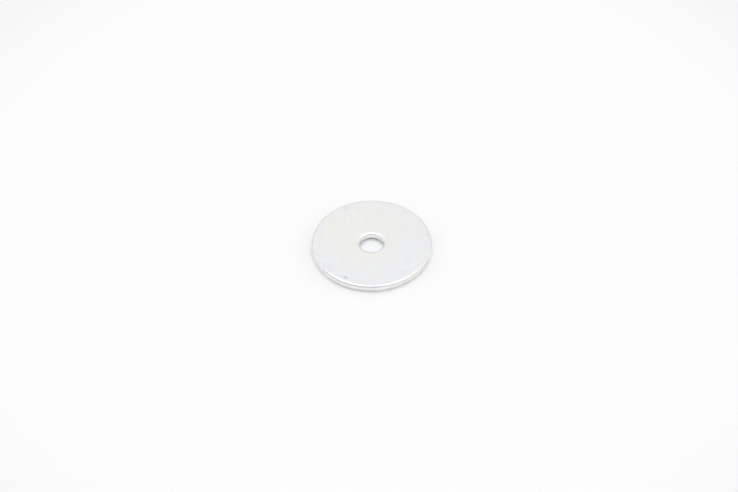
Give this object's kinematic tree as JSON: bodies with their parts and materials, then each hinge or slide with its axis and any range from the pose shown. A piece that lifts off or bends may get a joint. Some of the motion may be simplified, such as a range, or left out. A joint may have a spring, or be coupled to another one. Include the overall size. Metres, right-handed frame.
{
  "type": "washer",
  "caption": "Flat washer with a wide rim and a small centre hole, stamped and zinc plated, that spreads the load of a bolt head or nut over thin or soft material.",
  "frame": {"origin": "centre of the underside, on the axis of the hole", "axes": "+Z along the hole's axis, from the underside to the top face with the rolled edges"},
  "size_m": [0.03, 0.03, 0.002],
  "materials": {
    "zinc_plated_steel": "satin bright zinc plate on stamped steel, tumbled edges"
  },
  "bodies": {
    "root": {"washer": "zinc_plated_steel"}
  },
  "joints": []
}
